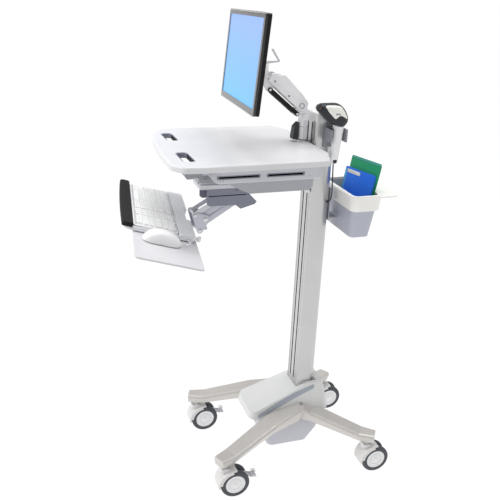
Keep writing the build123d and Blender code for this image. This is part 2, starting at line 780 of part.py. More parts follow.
screen_x, screen_back, screen_up = (screen_direction(1, 0, 0), screen_direction(0, 1, 0),
                                    screen_direction(0, 0, 1))
screen_origin = Vector(column_x + screen_pivot[0], column_y + screen_pivot[1], screen_pivot[2])


def screen_plane(depth):
    """Plane parallel to the screen, at a depth behind its front face."""
    return Plane(origin=screen_origin + screen_back * depth, x_dir=screen_x, z_dir=screen_back * -1)


screen_w, screen_h = screen_size
with BuildPart() as tilt_head:
    for x in ((11.6, 18), (-18, -11.6)):
        pin(x, (tilt_y, tilt_z), 8)
        with BuildSketch(side(x[0])):
            with Locations((tilt_y, tilt_z)):
                Rectangle(14, 16)
            with Locations((-192.5, tilt_z)):
                Rectangle(4, 26)
            make_hull()
        extrude(amount=x[1] - x[0])
    pin((-18, 18), (tilt_y, tilt_z), 3.5 + shaft_gap, Mode.SUBTRACT)
    with BuildSketch(screen_plane(50.5)):
        Circle(20)
    extrude(amount=-3.5)
    with BuildSketch(screen_plane(51)):
        Circle(6)
    extrude(amount=5)
pieces["tilt_head"] = tilt_head

with BuildPart() as tilt_lever:
    with BuildSketch(side(20)):
        with BuildLine():
            Polyline((-160, 1441), (-154, 1443), (-130, 1408), (-134, 1404), close=True)
        make_face()
        with BuildLine():
            Polyline((-134, 1404), (-130, 1408), (-178, 1408), (-186, 1404), (-180, 1399), close=True)
        make_face()
    extrude(amount=3)
pieces["tilt_lever"] = tilt_lever

with BuildPart() as vesa_plate:
    with BuildSketch(screen_plane(46.2)):
        RectangleRounded(116, 116, 8)
        with GridLocations(100, 100, 2, 2):
            Circle(2.3, mode=Mode.SUBTRACT)
        Circle(6 + shaft_gap, mode=Mode.SUBTRACT)
    extrude(amount=4)
pieces["vesa_plate"] = vesa_plate

with BuildPart() as screen_back_shell:
    with BuildSketch(screen_plane(18)):
        with Locations((0, -screen_drop)):
            RectangleRounded(screen_w - 1, screen_h - 1, screen_corner)
    extrude(amount=11)
    with BuildSketch(screen_plane(18)):
        RectangleRounded(250, 190, 14)
    with BuildSketch(screen_plane(42)):
        RectangleRounded(190, 140, 10)
    loft()
    with BuildSketch(screen_plane(42.5)):
        with GridLocations(100, 100, 2, 2):
            Circle(2)
        Circle(14)
    extrude(amount=9, mode=Mode.SUBTRACT)
pieces["screen_back_shell"] = screen_back_shell

with BuildPart() as screen_bezel:
    with BuildSketch(screen_plane(0)):
        with Locations((0, -screen_drop)):
            RectangleRounded(screen_w, screen_h, screen_corner)
        with Locations((0, 2 - screen_drop)):
            RectangleRounded(screen_w - 30, screen_h - 32, 2, mode=Mode.SUBTRACT)
    extrude(amount=-7)
pieces["screen_bezel"] = screen_bezel

with BuildPart() as screen_panel:
    with BuildSketch(screen_plane(1.5)):
        with Locations((0, 2 - screen_drop)):
            RectangleRounded(screen_w - 30.4, screen_h - 32.4, 2)
    extrude(amount=-5)
pieces["screen_panel"] = screen_panel

# ---------------------------------------------------------------- bin
bin_floor, bin_rim_top = 868.0, 1008.0
with BuildPart() as bin_body:
    with BuildSketch(level(bin_floor, bin_centre_x, 139)):
        RectangleRounded(205, 66, 14)
    with BuildSketch(level(1000, bin_centre_x, bin_centre_y)):
        RectangleRounded(222, 92, 18)
    loft()
    with BuildSketch(level(bin_floor + 3, bin_centre_x, 139)):
        RectangleRounded(199, 60, 11)
    with BuildSketch(level(1000, bin_centre_x, bin_centre_y)):
        RectangleRounded(216, 86, 15)
    loft(mode=Mode.SUBTRACT)
pieces["bin_body"] = bin_body

with BuildPart() as bin_rim:
    with BuildSketch(level(958, bin_centre_x, bin_centre_y)):
        RectangleRounded(230, 100, 22)
    with BuildSketch(level(bin_rim_top, bin_centre_x, bin_centre_y)):
        RectangleRounded(236, 110, 24)
    loft()
    with BuildSketch(level(1000, bin_centre_x, bin_centre_y + 28)):
        RectangleRounded(236, 170, 28)
    extrude(amount=5)
    with BuildSketch(level(957, bin_centre_x, bin_centre_y)):
        RectangleRounded(223, 93, 18.5)
    extrude(amount=43.2, mode=Mode.SUBTRACT)
    with BuildSketch(level(990, bin_centre_x, bin_centre_y)):
        RectangleRounded(216, 86, 15)
    extrude(amount=30, mode=Mode.SUBTRACT)
pieces["bin_rim"] = bin_rim

with BuildPart() as bin_bracket:
    box((-30, 30), (66.2, 70), (900, 1010))
    box((-30, 30), (70, 91), (975, 980))
    box((-30, 30), (70, 99), (905, 910))
pieces["bin_bracket"] = bin_bracket

folder_yaw, folder_lean = 14.0, 12.0
folder_foot = -129.5                   # bottom edge, along the folder from the plane's origin


def make_folder(y, top, thick):
    """Closed folder that stands in the bin and leans on its rear rim."""
    yaw, lean = radians(folder_yaw), radians(folder_lean)
    facing = Vector(sin(yaw) * cos(lean), -cos(yaw) * cos(lean), sin(lean))
    plane = Plane(origin=(column_x + 33, column_y + y, 1000), x_dir=(cos(yaw), sin(yaw), 0), z_dir=facing)
    with BuildPart() as folder:
        with BuildSketch(plane):
            with Locations((0, (top + folder_foot) / 2)):
                Rectangle(140, top - folder_foot)
        extrude(amount=-thick)
    return folder


pieces["green_folder"] = make_folder(167, 100, 3)
pieces["blue_folder"] = make_folder(155, 63.5, 5)

# ---------------------------------------------------------------- scanner
with BuildPart() as scanner_holder:
    box((43.4, 47), (18, 62), (1150, 1222))
    box((47, 91), (22, 27), (1172, 1212))
    box((47, 91), (72, 77), (1172, 1212))
    box((47, 51), (22, 77), (1172, 1212))
pieces["scanner_holder"] = scanner_holder

scanner_x = 73.0
with BuildPart() as scanner_body:
    with BuildSketch(level(1110, scanner_x, 46)):
        Ellipse(10, 12)
    with BuildSketch(level(1160, scanner_x, 49)):
        Ellipse(11, 14)
    with BuildSketch(level(1222, scanner_x, 52)):
        Ellipse(13, 17)
    loft()
    with BuildSketch(level(1104, scanner_x, 46)):
        Ellipse(9, 11)
    extrude(amount=7)
    for reach, long, high in ((-27, 38, 16), (-22, 48, 23), (-12, 53, 27), (0, 54, 28), (12, 53, 27),
                              (22, 48, 23), (27, 38, 16)):
        with BuildSketch(side(scanner_x + reach)):
            with Locations((32, 1253)):
                Ellipse(long, high, rotation=-27)
    loft()
    box((scanner_x - 5, scanner_x + 5), (28, 46), (1180, 1216), Mode.SUBTRACT)
pieces["scanner_body"] = scanner_body

with BuildPart() as scanner_trigger:
    box((scanner_x - 4.4, scanner_x + 4.4), (30, 40.4), (1184, 1212))
    fillet(scanner_trigger.edges().filter_by(Axis.X).group_by(Axis.Y)[0], 3)
pieces["scanner_trigger"] = scanner_trigger


# ---------------------------------------------------------------- cords
def cord_radii(points):
    """Radius of the arc at each corner, as large as its two runs allow."""
    runs = [Vector(*b) - Vector(*a) for a, b in zip(points, points[1:])]
    radii = []
    for before, after in zip(runs, runs[1:]):
        half_turn = radians(before.get_angle(after) / 2)
        radii.append(0.45 * min(before.length, after.length) / tan(half_turn))
    return radii


def make_cord(points, diameter):
    """Tube of straight runs and tangent arcs through the points."""
    radii = cord_radii(points)
    with BuildPart() as cord:
        with BuildLine() as route:
            FilletPolyline(*points, radius=radii)
        path = route.wires()[0]
        with BuildSketch(Plane(origin=path @ 0, z_dir=path % 0)):
            Circle(diameter / 2)
        sweep(path=path)
    error = cord.part.volume / (path.length * pi * diameter ** 2 / 4) - 1
    print("cord", round(path.length, 1), "mm, radii", [round(r, 1) for r in radii],
          "volume error", round(error, 4))
    return cord


scanner_cord_route = [
    (73, 46, 1103.7), (73, 46.5, 1082), (73.5, 48, 1052), (73, 50, 1020), (68, 52, 992), (58, 53, 975),
    (43.3, 53, 968),
]
pieces["scanner_cord"] = make_cord([(column_x + x, column_y + y, z) for x, y, z in scanner_cord_route], 4.0)

mouse_cord_route = [
    (278, 45.6, -9), (278, 54, -11), (273, 66, -13.5), (259, 74, -15), (241.3, 75, -15.5),
]
pieces["mouse_cord"] = make_cord(
    [tuple(tray_centre + tray_x * x + tray_y * y + tray_normal * z) for x, y, z in mouse_cord_route], 3.0)

os.makedirs("parts", exist_ok=True)
for label, piece in pieces.items():
    piece.part.label = label
    export_step(piece.part, f"parts/{label}.step")
everything = Compound(children=[piece.part for piece in pieces.values()])
extent = everything.bounding_box()
print(len(pieces), "parts", extent.min, extent.max)
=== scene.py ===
"""Looks of the mobile point-of-care cart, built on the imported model. Metres, +Z up, the user stands at -Y."""

from math import cos, pi, radians, sin

import bmesh
import bpy
from mathutils import Matrix, Vector


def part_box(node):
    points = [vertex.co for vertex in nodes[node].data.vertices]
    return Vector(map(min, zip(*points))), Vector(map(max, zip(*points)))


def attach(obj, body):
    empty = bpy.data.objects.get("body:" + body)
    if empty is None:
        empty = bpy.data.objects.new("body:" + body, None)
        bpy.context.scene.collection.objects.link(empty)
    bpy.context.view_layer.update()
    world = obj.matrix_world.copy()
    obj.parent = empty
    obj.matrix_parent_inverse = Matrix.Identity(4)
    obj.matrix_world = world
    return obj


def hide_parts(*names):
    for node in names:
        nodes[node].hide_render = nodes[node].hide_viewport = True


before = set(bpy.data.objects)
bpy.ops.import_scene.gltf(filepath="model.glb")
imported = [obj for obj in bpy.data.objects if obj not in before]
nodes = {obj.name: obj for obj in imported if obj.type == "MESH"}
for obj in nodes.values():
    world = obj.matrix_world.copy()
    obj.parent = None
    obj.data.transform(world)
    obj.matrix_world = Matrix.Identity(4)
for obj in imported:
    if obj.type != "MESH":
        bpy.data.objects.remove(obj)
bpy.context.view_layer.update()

# ---------------------------------------------------------------- places, in millimetres from the column line
MM = 0.001
RIGHT, BACK, UP = Vector((1, 0, 0)), Vector((0, 1, 0)), Vector((0, 0, 1))
column_low, column_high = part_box("column")
centre_x = (column_low.x + column_high.x) / 2
line_y = column_low.y + 8 * MM
worksurface_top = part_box("worksurface")[1].z / MM


def at(x, y, z):
    """Point in the row frame, from millimetres measured from the column's front centre line."""
    return Vector((centre_x + x * MM, line_y + y * MM, z * MM))


def local_frame(origin, along_x, along_y, along_z):
    """Matrix from local millimetres to the row frame."""
    turn = Matrix((along_x, along_y, along_z)).transposed().to_4x4()
    return Matrix.Translation(origin) @ turn @ Matrix.Scale(MM, 4)


def side(x, s=1):
    """Upright plane facing right, or left where s is -1: local axes are the cart's Y, Z and outwards."""
    return local_frame(at(x, 0, 0), BACK, UP, RIGHT * s)


def level(z):
    """Horizontal plane: local axes are the cart's X, Y and Z."""
    return local_frame(at(0, 0, z), RIGHT, BACK, UP)


# the tray's and the screen's own frames, at the angles they have at rest
tray_turn, tray_lean = radians(-8.7), radians(-14)
tray_x = Vector((cos(tray_turn), sin(tray_turn) * cos(tray_lean), sin(tray_turn) * sin(tray_lean)))
tray_y = Vector((-sin(tray_turn), cos(tray_turn) * cos(tray_lean), cos(tray_turn) * sin(tray_lean)))
tray_up = Vector((0, -sin(tray_lean), cos(tray_lean)))
tray_pin = at(0, -429.1, 952.5)        # the tray's middle is 12 mm to its left and 58 mm nearer
tray = local_frame(tray_pin - tray_x * 12 * MM - tray_y * 58 * MM, tray_x, tray_y, tray_up)

screen_turn = (Matrix.Rotation(radians(-5.6), 3, "Z") @ Matrix.Rotation(radians(-5.5), 3, "X")
               @ Matrix.Rotation(radians(2.0), 3, "Y").inverted())
screen_x, screen_back, screen_up = screen_turn.col[0], screen_turn.col[1], screen_turn.col[2]
screen_pivot = at(0, -244, 1418)
screen_drop = 6.0                      # the screen's middle is this far below the pivot it turns on
screen = local_frame(screen_pivot - screen_up * screen_drop * MM, screen_x, screen_up, -screen_back)


# ---------------------------------------------------------------- materials
def new_material(name, rough, metallic):
    """Plain node material, with the parts of its tree that the finishes build on."""
    made = bpy.data.materials.new(name)
    made.use_nodes = True
    shader = made.node_tree.nodes["Principled BSDF"]
    shader.inputs["Roughness"].default_value = rough
    shader.inputs["Metallic"].default_value = metallic
    return made, made.node_tree.nodes, made.node_tree.links, shader


def scaled_noise(tree_nodes, links, scale, detail, stretch=(1, 1, 1)):
    """Noise in the object's own space, in features per metre."""
    place = tree_nodes.new("ShaderNodeTexCoord")
    mapping = tree_nodes.new("ShaderNodeMapping")
    noise = tree_nodes.new("ShaderNodeTexNoise")
    mapping.inputs["Scale"].default_value = stretch
    noise.inputs["Scale"].default_value = scale
    noise.inputs["Detail"].default_value = detail
    links.new(place.outputs["Object"], mapping.inputs["Vector"])
    links.new(mapping.outputs["Vector"], noise.inputs["Vector"])
    return noise


def surface(name, colour, rough=0.45, metallic=0.0, grain=1.0, bump=0.08, spread=0.03, coat=0.0,
            stretch=(1, 1, 1), specular=0.5):
    """Procedural finish: fine grain in the bump, slow drift in colour and roughness."""
    made, tree_nodes, links, shader = new_material(name, rough, metallic)
    drift = scaled_noise(tree_nodes, links, 7, 4)
    ramp = tree_nodes.new("ShaderNodeValToRGB")
    for stop, factor in ((0, 1 - spread), (1, 1 + spread)):
        ramp.color_ramp.elements[stop].color = [min(c * factor, 1) for c in colour] + [1]
    ramp.color_ramp.elements[0].position = 0.3
    ramp.color_ramp.elements[1].position = 0.7
    links.new(drift.outputs["Fac"], ramp.inputs["Fac"])
    links.new(ramp.outputs["Color"], shader.inputs["Base Color"])
    fine = scaled_noise(tree_nodes, links, 1000 / grain, 3, stretch)
    polish = tree_nodes.new("ShaderNodeMapRange")
    polish.inputs["To Min"].default_value = max(rough - 0.08, 0.02)
    polish.inputs["To Max"].default_value = min(rough + 0.08, 1)
    links.new(fine.outputs["Fac"], polish.inputs["Value"])
    links.new(polish.outputs["Result"], shader.inputs["Roughness"])
    relief = tree_nodes.new("ShaderNodeBump")
    relief.inputs["Strength"].default_value = bump
    relief.inputs["Distance"].default_value = 0.0003
    links.new(fine.outputs["Fac"], relief.inputs["Height"])
    links.new(relief.outputs["Normal"], shader.inputs["Normal"])
    shader.inputs["Specular IOR Level"].default_value = specular
    shader.inputs["Coat Weight"].default_value = coat
    shader.inputs["Coat Roughness"].default_value = 0.12
    return made


def display(name):
    """Lit screen: a plain sky that pales downwards, under a thin anti-glare coat."""
    made, tree_nodes, links, shader = new_material(name, 0.35, 0.0)
    place = tree_nodes.new("ShaderNodeTexCoord")
    split = tree_nodes.new("ShaderNodeSeparateXYZ")
    height = tree_nodes.new("ShaderNodeMapRange")
    low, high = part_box("screen_panel")
    height.inputs["From Min"].default_value = low.z
    height.inputs["From Max"].default_value = high.z
    cloud = scaled_noise(tree_nodes, links, 5, 4, (1, 1, 0.5))
    mix = tree_nodes.new("ShaderNodeMath")
    mix.operation = "MULTIPLY_ADD"
    mix.inputs[1].default_value = 0.22
    ramp = tree_nodes.new("ShaderNodeValToRGB")
    ramp.color_ramp.elements[0].position = 0.1
    ramp.color_ramp.elements[0].color = (0.09, 0.5, 0.95, 1)
    ramp.color_ramp.elements[1].position = 1.0
    ramp.color_ramp.elements[1].color = (0.26, 0.46, 1.0, 1)
    middle = ramp.color_ramp.elements.new(0.6)
    middle.color = (0.17, 0.47, 0.98, 1)
    links.new(place.outputs["Object"], split.inputs["Vector"])
    links.new(split.outputs["Z"], height.inputs["Value"])
    links.new(cloud.outputs["Fac"], mix.inputs[0])
    links.new(height.outputs["Result"], mix.inputs[2])
    links.new(mix.outputs["Value"], ramp.inputs["Fac"])
    shader.inputs["Base Color"].default_value = (0.02, 0.025, 0.03, 1)
    links.new(ramp.outputs["Color"], shader.inputs["Emission Color"])
    shader.inputs["Emission Strength"].default_value = 0.92
    return made


white_gloss = surface("white_gloss", (0.71, 0.71, 0.725), rough=0.32, grain=2.5, bump=0.03, specular=0.3)
white_satin = surface("white_satin", (0.83, 0.83, 0.83), rough=0.42, grain=0.9)
white_arm = surface("white_arm", (0.9, 0.9, 0.92), rough=0.34, grain=1.2, coat=0.15)
warm_white = surface("warm_white", (0.79, 0.8, 0.79), rough=0.46, grain=0.8, bump=0.12)
# painted shade: blue-grey that stands for the shade on the base cover's leaning sides and on the hub below them
painted_base_shade = surface("painted_base_shade", (0.42, 0.46, 0.52), rough=0.5, grain=0.8, bump=0.12)
pale_grey = surface("pale_grey", (0.68, 0.69, 0.72), rough=0.45, grain=0.9)
# one grey plastic in two copies: painted light on the keyboard tray's lighter copy against the shade under the
# worksurface, painted shade on the mouse tray's darker copy
tray_grey_painted_light = surface("tray_grey_painted_light", (0.84, 0.845, 0.87), rough=0.4, grain=0.8, bump=0.12)
mouse_tray_grey_painted_shade = surface("mouse_tray_grey_painted_shade", (0.68, 0.68, 0.7), rough=0.4, grain=0.8, bump=0.12)
rim_white = surface("rim_white", (0.95, 0.94, 0.91), rough=0.4, grain=0.9)
housing_grey = surface("housing_grey", (0.56, 0.57, 0.61), rough=0.45, grain=0.9, bump=0.12)
beam_grey = surface("beam_grey", (0.4, 0.41, 0.45), rough=0.42, grain=1.2)
arm_grey = surface("arm_grey", (0.56, 0.57, 0.64), rough=0.38, grain=1.2, coat=0.1)
slate = surface("slate", (0.23, 0.24, 0.3), rough=0.5, grain=0.8, bump=0.15)
lever_grey = surface("lever_grey", (0.3, 0.31, 0.34), rough=0.5, grain=0.8, bump=0.12)
lavender = surface("lavender", (0.57, 0.57, 0.63), rough=0.4, grain=1.2, bump=0.05)
bin_grey = surface("bin_grey", (0.5, 0.52, 0.6), rough=0.45, grain=0.9, bump=0.12)
cast = surface("cast", (0.66, 0.635, 0.605), rough=0.42, metallic=0.35, grain=1.6, bump=0.22, spread=0.06)
anodised = surface("anodised", (0.57, 0.57, 0.57), rough=0.33, metallic=0.85, grain=0.7, bump=0.12,
                   stretch=(1, 1, 0.01))
steel = surface("steel", (0.62, 0.62, 0.64), rough=0.26, metallic=1.0, grain=0.6, bump=0.06)
chrome = surface("chrome", (0.8, 0.8, 0.82), rough=0.09, metallic=1.0, grain=2.0, bump=0.01)
black_plastic = surface("black_plastic", (0.009, 0.009, 0.01), rough=0.36, grain=0.7, bump=0.14, spread=0.2,
                        specular=0.2)
black_gloss = surface("black_gloss", (0.012, 0.011, 0.013), rough=0.16, grain=2.0, bump=0.02, spread=0.2,
                      coat=0.4)
# near-black for seams, and painted shade in slots, vents and grooves
seam_black_and_painted_recess_shade = surface("seam_black_and_painted_recess_shade", (0.006, 0.006, 0.007), rough=0.8, grain=0.8, spread=0.2, specular=0.15)
rest_rubber = surface("rest_rubber", (0.006, 0.006, 0.007), rough=0.68, grain=0.6, bump=0.3, spread=0.25,
                      specular=0.3)
tread = surface("tread", (0.075, 0.08, 0.095), rough=0.62, grain=0.9, bump=0.25, spread=0.12)
hub_white = surface("hub_white", (0.93, 0.93, 0.94), rough=0.35, grain=1.4, bump=0.05)
fork_white = surface("fork_white", (0.78, 0.77, 0.76), rough=0.4, grain=1.0, bump=0.1)
key_white = surface("key_white", (0.95, 0.95, 0.95), rough=0.5, grain=0.6, bump=0.14)
case_white = surface("case_white", (0.92, 0.92, 0.93), rough=0.45, grain=0.8, bump=0.1)
charcoal = surface("charcoal", (0.03, 0.033, 0.04), rough=0.42, grain=0.7, bump=0.15, spread=0.15,
                   specular=0.3)
cream = surface("cream", (0.9, 0.9, 0.84), rough=0.34, grain=1.2, bump=0.05, coat=0.15)
lens_red = surface("lens_red", (0.05, 0.006, 0.008), rough=0.08, grain=3.0, bump=0.0, spread=0.3, coat=0.6)
green_card = surface("green_card", (0.012, 0.34, 0.15), rough=0.62, grain=0.5, bump=0.2, spread=0.1)
green_edge = surface("green_edge", (0.08, 0.42, 0.34), rough=0.62, grain=0.5, bump=0.2, spread=0.08)
blue_card = surface("blue_card", (0.012, 0.16, 0.8), rough=0.5, grain=0.5, bump=0.16, spread=0.08, coat=0.1)
sky_card = surface("sky_card", (0.1, 0.4, 0.75), rough=0.5, grain=0.5, bump=0.16)
paper = surface("paper", (0.8, 0.8, 0.78), rough=0.8, grain=0.5, bump=0.2, stretch=(0.06, 0.06, 1))
screen_sky = display("screen_sky")
floor_white = surface("floor_white", (0.12, 0.12, 0.12), rough=0.95, grain=30, bump=0.02, spread=0.004,
                      specular=0.1)
floor_shader = floor_white.node_tree.nodes["Principled BSDF"]
floor_shader.inputs["Emission Color"].default_value = (1, 1, 1, 1)
floor_shader.inputs["Emission Strength"].default_value = 0.95


# ---------------------------------------------------------------- mesh helpers
def finish_mesh(name, bm, finish, body, crease=32):
    """Turns a bmesh into a shaded piece that rides on a body."""
    bmesh.ops.remove_doubles(bm, verts=bm.verts, dist=1e-6)
    bmesh.ops.recalc_face_normals(bm, faces=bm.faces)
    mesh = bpy.data.meshes.new(name)
    bm.to_mesh(mesh)
    bm.free()
    for polygon in mesh.polygons:
        polygon.use_smooth = True
    mesh.set_sharp_from_angle(angle=radians(crease))
    mesh.materials.append(finish)
    piece = bpy.data.objects.new(name, mesh)
    bpy.context.scene.collection.objects.link(piece)
    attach(piece, body)
    return piece


def rectangle(width, height, radius, centre=(0, 0), steps=6):
    """Rounded rectangle, anticlockwise."""
    points = []
    for quarter, (sx, sy) in enumerate(((1, 1), (-1, 1), (-1, -1), (1, -1))):
        for i in range(steps + 1):
            angle = pi / 2 * (quarter + i / steps)
            points.append((centre[0] + sx * (width / 2 - radius) + radius * cos(angle),
                           centre[1] + sy * (height / 2 - radius) + radius * sin(angle)))
    return points


def smooth_loop(points, steps=5):
    """Closed curve through the points."""
    loop = []
    count = len(points)
    for i in range(count):
        a, b, c, d = (Vector(points[(i + k) % count]) for k in (-1, 0, 1, 2))
        for k in range(steps):
            t = k / steps
            loop.append(tuple(0.5 * (2 * b + (c - a) * t + (2 * a - 5 * b + 4 * c - d) * t ** 2
                                     + (3 * b - a - 3 * c + d) * t ** 3)))
    return loop


def prism(bm, placement, outline, low, high, edge=0.5, hole=None):
    """Plate of an outline between two heights of a local frame, with softened rims and an optional hole."""
    loops = [outline, hole] if hole else [outline]
    rings = [[[bm.verts.new(placement @ Vector((x, y, height))) for x, y in loop] for height in (low, high)]
             for loop in loops]
    rims = []
    for bottom, top in rings:
        for i in range(len(bottom)):
            j = (i + 1) % len(bottom)
            bm.faces.new((bottom[i], bottom[j], top[j], top[i]))
            rims += [bm.edges.get((ring[i], ring[j])) for ring in (bottom, top)]
    for k in (0, 1):
        if not hole:
            bm.faces.new(rings[0][k])
            continue
        for i in range(len(outline)):
            j = (i + 1) % len(outline)
            bm.faces.new((rings[0][k][i], rings[0][k][j], rings[1][k][j], rings[1][k][i]))
    if edge:
        bmesh.ops.bevel(bm, geom=rims, offset=edge * MM, segments=2, profile=0.5, affect="EDGES",
                        clamp_overlap=True)


def flank(bm, s, x, outline, low, high, edge=0.3, hole=None):
    """Plate on the right or left flank: the outline is the cart's (y, z), the heights go outwards from x."""
    prism(bm, side(s * x, s), outline, low, high, edge, hole)


def squared(value, power):
    """Sine or cosine bent towards a squarer form."""
    return (1 if value >= 0 else -1) * abs(value) ** power


def lathe(bm, profile, origin, axis, steps=48):
    """Turned form: profile is (radius, distance along the axis) in millimetres."""
    turn = axis.to_track_quat("Z", "Y").to_matrix().to_4x4()
    place = Matrix.Translation(origin) @ turn @ Matrix.Scale(MM, 4)
    rings = []
    for radius, along in profile:
        if radius == 0:
            rings.append([bm.verts.new(place @ Vector((0, 0, along)))])
        else:
            rings.append([bm.verts.new(place @ Vector((radius * cos(2 * pi * i / steps),
                                                       radius * sin(2 * pi * i / steps), along)))
                          for i in range(steps)])
    for first, second in zip(rings, rings[1:]):
        for i in range(steps):
            j = (i + 1) % steps
            corners = (first[i % len(first)], first[j % len(first)],
                       second[j % len(second)], second[i % len(second)])
            unique = list(dict.fromkeys(corners))
            if len(unique) > 2:
                bm.faces.new(unique)


def skin(bm, rings):
    """Faces from each ring of vertices to the next."""
    for first, second in zip(rings, rings[1:]):
        for k in range(len(first)):
            j = (k + 1) % len(first)
            bm.faces.new((first[k], first[j], second[j], second[k]))


def dome(bm, placement, outline, half, power, rings=10, both=True):
    """Pillow form: the outline shrinks towards its middle as it rises, rounded all over."""
    middle = Vector((sum(x for x, y in outline) / len(outline), sum(y for x, y in outline) / len(outline)))
    for sign in (1, -1) if both else (1,):
        loops = []
        for i in range(rings + 1):
            part = i / rings
            shrink = (1 - part ** power) ** (1 / power) if part < 1 else 0
            loop = []
            for x, y in outline:
                spot = middle + (Vector((x, y)) - middle) * shrink
                loop.append(placement @ Vector((spot.x, spot.y, sign * half * part)))
            loops.append(loop)
        vertices = [[bm.verts.new(p) for p in loop] for loop in loops[:-1]]
        tip = bm.verts.new(placement @ Vector((middle.x, middle.y, sign * half)))
        skin(bm, vertices)
        for k in range(len(outline)):
            bm.faces.new((vertices[-1][k], vertices[-1][(k + 1) % len(outline)], tip))
        if not both:
            bm.faces.new(vertices[0])


def refined(node, radius, finish, body, lowest, segments):
    """Copy of a CAD node, its outer edges above a height rounded; it stands for the node."""
    bm = bmesh.new()
    bm.from_mesh(nodes[node].data)
    bmesh.ops.remove_doubles(bm, verts=bm.verts, dist=2e-6)
    bmesh.ops.dissolve_limit(bm, angle_limit=radians(0.6), verts=bm.verts, edges=bm.edges)
    chosen = []
    for e in bm.edges:
        if len(e.link_faces) == 2 and e.calc_face_angle_signed(0) > radians(28):
            if (e.verts[0].co.z + e.verts[1].co.z) / 2 > lowest:
                chosen.append(e)
    bmesh.ops.bevel(bm, geom=chosen, offset=radius * MM, segments=segments, profile=0.5, affect="EDGES",
                    clamp_overlap=True)
    piece = finish_mesh(node + "_shell", bm, finish, body, 40)
    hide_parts(node)


def keep(node, finish, edge=0.6, segments=2):
    """A CAD node whose shape is right: its finish, and its sharp edges softened."""
    shown = nodes[node]
    shown.data.materials.clear()
    shown.data.materials.append(finish)
    weld = shown.modifiers.new("weld", "WELD")
    weld.merge_threshold = 2e-6
    if edge:
        soften = shown.modifiers.new("soften", "BEVEL")
        soften.width = edge * MM
        soften.segments = segments
        soften.limit_method = "ANGLE"
        soften.angle_limit = radians(32)
        soften.harden_normals = True
        soften.use_clamp_overlap = True


def wire(name, points, radius, finish, body):
    """Round bar or bead along points in the row frame."""
    curve = bpy.data.curves.new(name, "CURVE")
    curve.dimensions = "3D"
    curve.bevel_depth = radius * MM
    curve.bevel_resolution = 3
    curve.use_fill_caps = True
    spline = curve.splines.new("POLY")
    spline.points.add(len(points) - 1)
    for spot, place in zip(spline.points, points):
        spot.co = (*place, 1)
    curve.materials.append(finish)
    piece = bpy.data.objects.new(name, curve)
    bpy.context.scene.collection.objects.link(piece)
    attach(piece, body)


def screws(name, body, heads, radius=3.2, finish=None):
    """Socket-head screws: each head is (point, outward direction)."""
    bm = bmesh.new()
    for place, outward in heads:
        lathe(bm, [(0, 0.2), (radius * 0.45, 0.2), (radius * 0.5, 1.3), (radius * 0.86, 1.6), (radius, 1.0),
                   (radius, -1.0)], place, outward, 24)
    finish_mesh(name, bm, finish or steel, body, 40)


# ---------------------------------------------------------------- casters
def caster(corner):
    """Twin wheels with dark treads and white hubs, and the steel ring of the swivel."""
    low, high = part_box(corner + "_wheels")
    middle = (low + high) / 2
    body = corner + "_wheels"
    tyre, hub, rings = bmesh.new(), bmesh.new(), bmesh.new()
    for s in (1, -1):
        outward = RIGHT * s
        lathe(tyre, [(34.4, 24.5), (35.2, 26.6), (36.4, 27.2), (41.4, 27), (41.9, 26.4), (42.4, 26.8),
                     (45.2, 26.6), (47.4, 25.6), (49.1, 23.6), (49.9, 20.6), (50, 18.2), (49.9, 15.8),
                     (49.1, 12.8), (47.4, 10.8), (44.4, 9.7), (35, 9.6), (34.4, 11)], middle, outward, 72)
        lathe(hub, [(0, 26.9), (6.5, 26.7), (7.6, 26.1), (8.4, 25.5), (18, 25.0), (27.5, 25.2), (28.2, 24.8),
                    (28.9, 25.3), (33, 26.1), (34, 26), (34.6, 25.2), (34.6, 10.2), (30, 9.8),
                    (12, 9.7), (4.3, 9.7), (4.3, 22.4), (0, 22.6)], middle, outward, 72)
        lathe(rings, [(19.6, 24.9), (20, 25.5), (20.8, 25.5), (21.2, 24.9)], middle, outward, 72)
    tyre_piece = finish_mesh(corner + "_tyres", tyre, tread, body, 40)
    hub_piece = finish_mesh(corner + "_hubs", hub, hub_white, body, 40)
    finish_mesh(corner + "_hub_rings", rings, pale_grey, body, 40)
    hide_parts(corner + "_wheels")
    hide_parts(corner + "_wheels")
    keep(corner + "_fork", fork_white, 1.4, 3)
    stem = bmesh.new()
    swivel = Vector((middle.x, middle.y - 32 * MM, 0))
    lathe(stem, [(9, 113), (15.5, 113.2), (17, 114.2), (17, 116.6), (15.5, 117.4), (14.6, 117.5)], swivel,
          UP, 48)
    finish_mesh(corner + "_swivel_ring", stem, steel, corner + "_fork", 40)


for corner in ("front_right", "front_left", "rear_right", "rear_left"):
    caster(corner)
for corner in ("front_right", "front_left"):
    keep(corner + "_brake_pedal", pale_grey, 1.2, 3)
    low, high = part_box(corner + "_brake_pedal")
    ribs = bmesh.new()
    for step in range(4):
        y = high.y - (4 + 4 * step) * MM
        spot = local_frame(Vector(((low.x + high.x) / 2, y, high.z - 1.3 * MM)), RIGHT, BACK, UP)
        prism(ribs, spot, rectangle(18, 1.4, 0.6, steps=3), -1.2, 0.5, 0.25)
    finish_mesh(corner + "_brake_grip", ribs, slate, corner + "_brake_pedal", 40)

# ---------------------------------------------------------------- base
keep("base_frame", cast, 1.0, 2)
refined("base_cover", 9, warm_white, "base", 0.205, 4)
refined("ballast_box", 2.5, lavender, "base", 0, 2)


def cover_strip(name, finish, outline):
    """Thin panel of painted shade on each leaning side of the base cover, given in the side plane as (y, z)."""
    bm = bmesh.new()
    lean = radians(12)
    for s in (1, -1):
        upward = Vector((-s * sin(lean), 0, cos(lean)))
        outward = Vector((s * cos(lean), 0, sin(lean)))
        place = local_frame(at(s * 81.9, 0, 194), BACK, upward, outward)
        prism(bm, place, [(y, (z - 194) / cos(lean)) for y, z in outline], -1.2, 0, 0.5)
    finish_mesh(name, bm, finish, "base", 40)
